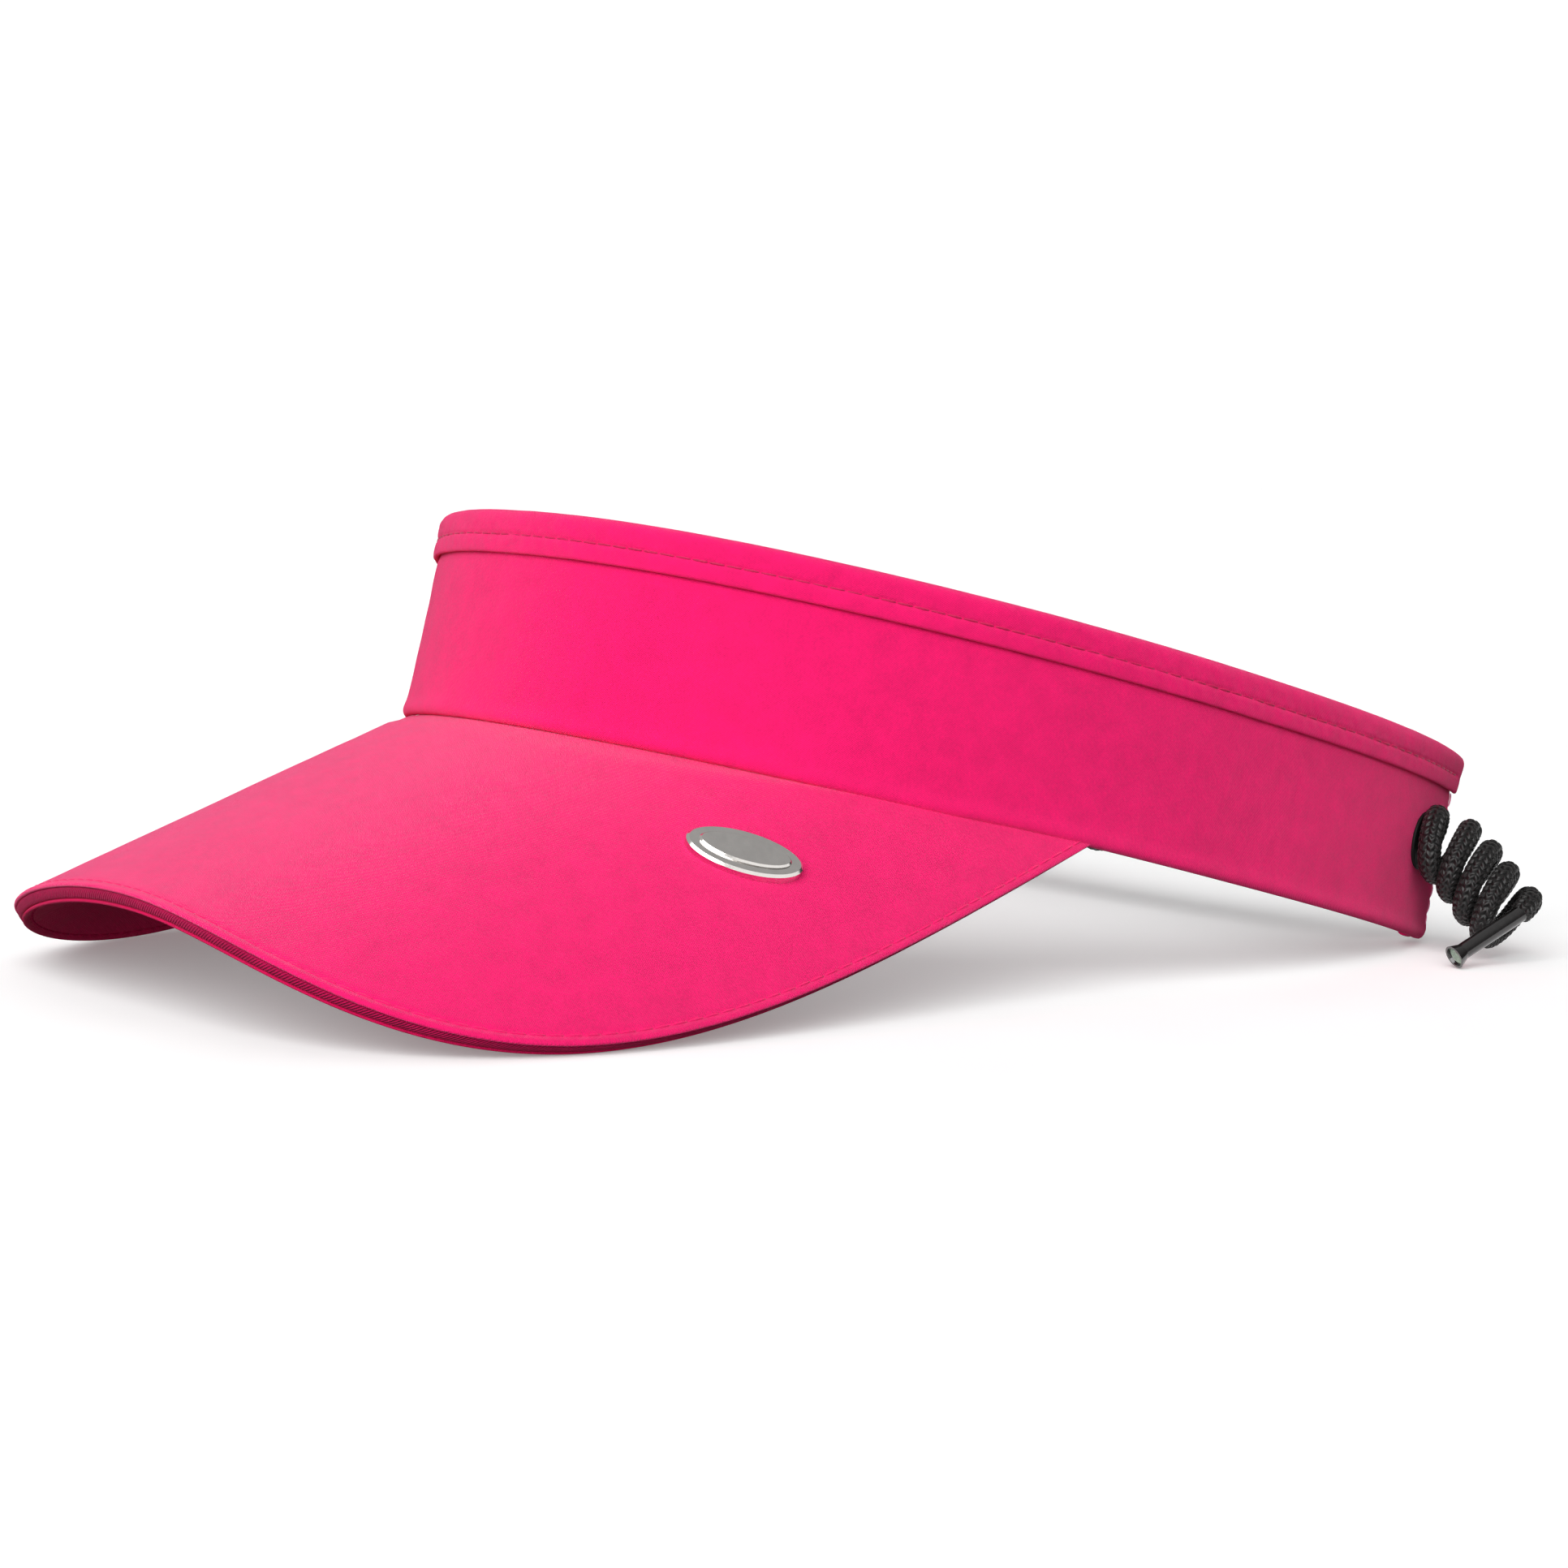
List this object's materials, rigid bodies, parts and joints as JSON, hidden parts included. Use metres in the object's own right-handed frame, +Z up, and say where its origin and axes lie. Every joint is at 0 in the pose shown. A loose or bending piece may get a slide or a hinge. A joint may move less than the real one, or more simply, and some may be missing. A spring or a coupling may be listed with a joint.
{
  "type": "sun visor",
  "caption": "Sports sun visor with an arched sewn brim, an open head band and a coiled elastic lace that closes the band at the back.",
  "frame": {"origin": "middle of the sewn visor's footprint, on the table it rests on", "axes": "+Z up, -Y the way the wearer looks, +X the wearer's left"},
  "size_m": [0.1904, 0.249, 0.078],
  "materials": {
    "pink_cloth": "plain weave microfibre",
    "under_cloth": "plain weave microfibre",
    "sweatband": "brushed cloth",
    "stiffener": "matte",
    "board": "matte",
    "nickel": "polished nickel",
    "eyelet": "semi-gloss",
    "lace": "braided",
    "aglet": "gloss",
    "lace_core": "matte",
    "label": "satin"
  },
  "bodies": {
    "front": {"band_cloth_front": "pink_cloth", "band_stiffener_front": "stiffener", "sweatband_front": "sweatband", "top_hem_front": "pink_cloth", "brim_top_cloth": "pink_cloth", "brim_board": "board", "brim_edge_strip": "pink_cloth", "brim_under_cloth": "under_cloth", "badge": "nickel", "badge_washers": "nickel"},
    "left_wing": {"band_cloth_left": "pink_cloth", "band_stiffener_left": "stiffener", "sweatband_left": "sweatband", "top_hem_left": "pink_cloth", "eyelet_left": "eyelet", "eyelet_washer_left": "eyelet", "lace_tail_left": "lace", "lace_bridge_left": "lace", "aglet_left": "aglet", "aglet_plug_left": "lace_core", "care_label": "label"},
    "right_wing": {"band_cloth_right": "pink_cloth", "band_stiffener_right": "stiffener", "sweatband_right": "sweatband", "top_hem_right": "pink_cloth", "eyelet_right": "eyelet", "eyelet_washer_right": "eyelet", "lace_tail_right": "lace", "lace_bridge_right": "lace", "aglet_right": "aglet", "aglet_plug_right": "lace_core"}
  },
  "joints": [
    {"name": "left_wing_flex", "type": "hinge", "parent": "front", "child": "left_wing", "pos_m": [0.07279, 0.02045, 0.02385], "axis": [0, -0.2435, -0.9699], "range_deg": [-10, 18], "stiffness_Nm_per_rad": 0.15, "deforming": ["lace_bridge_left"]},
    {"name": "right_wing_flex", "type": "hinge", "parent": "front", "child": "right_wing", "pos_m": [-0.07279, 0.02045, 0.02385], "axis": [0, 0.2435, 0.9699], "range_deg": [-10, 18], "stiffness_Nm_per_rad": 0.15, "deforming": ["lace_bridge_right"]}
  ]
}
